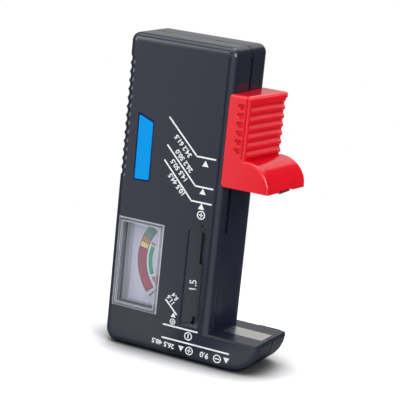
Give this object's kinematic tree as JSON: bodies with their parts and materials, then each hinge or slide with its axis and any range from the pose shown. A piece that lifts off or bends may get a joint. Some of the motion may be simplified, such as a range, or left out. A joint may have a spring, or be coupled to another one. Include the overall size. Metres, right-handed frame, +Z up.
{
  "type": "battery tester",
  "caption": "Hand-held battery tester: flat case with a sliding upper contact over a side cradle, a window meter, a button-cell trough and contacts on its end.",
  "frame": {"origin": "middle of the bottom of the bounding box, on the surface that the tester stands on", "axes": "+Z up along the case, -Y out of the front with the meter, +X to the side with the cradle and the slide"},
  "size_m": [0.06, 0.025, 0.11],
  "materials": {
    "case": "fine matt moulded plastic",
    "slide_red": "satin moulded plastic",
    "clear": "clear polished plastic",
    "scale": "matt printed sheet",
    "pointer": "matt black",
    "dark_plastic": "moulded plastic",
    "iron": "turned soft iron",
    "magnet": "sintered",
    "alu": "punched",
    "coil": "enamelled winding",
    "steel": "bright",
    "bronze": "rolled strip",
    "tinplate": "nickel plated strip",
    "carrier": "moulded natural plastic",
    "board": "laminate",
    "resistor_tan": "lacquered",
    "resistor_blue": "lacquered"
  },
  "bodies": {
    "case": {"front_shell": "case", "rear_shell": "case", "meter_cover": "clear", "scale_plate": "scale", "meter_frame": "dark_plastic", "iron_ring": "iron", "core_magnet": "magnet", "core_bar": "alu", "front_bearing": "bronze", "rear_bearing": "bronze", "bus_rail": "bronze", "foot_contact": "tinplate", "foot_link": "bronze", "end_contact_plus": "tinplate", "end_contact_minus": "tinplate", "cell_leaf_upper": "tinplate", "cell_leaf_lower": "tinplate", "circuit_board": "board", "load_resistor_a": "resistor_tan", "load_resistor_b": "resistor_blue", "case_screw_top": "steel", "case_screw_low": "steel"},
    "slide": {"slider": "slide_red", "slider_contact": "tinplate", "contact_rivet": "steel", "slide_carriage": "carrier", "carriage_pin_upper": "steel", "carriage_pin_lower": "steel", "wiper_spring": "bronze"},
    "movement": {"pointer": "pointer", "moving_coil": "coil", "pointer_shaft": "steel", "hairspring": "bronze"}
  },
  "joints": [
    {"name": "slide_travel", "type": "slide", "parent": "case", "child": "slide", "axis": [0, 0, 1], "range_m": [-0.0225, 0.011]},
    {"name": "pointer_turn", "type": "hinge", "parent": "case", "child": "movement", "pos_m": [-0.0024, -0.002, 0.032], "axis": [0, 1, 0], "range_deg": [0, 84], "stiffness_Nm_per_rad": 0.0002}
  ]
}
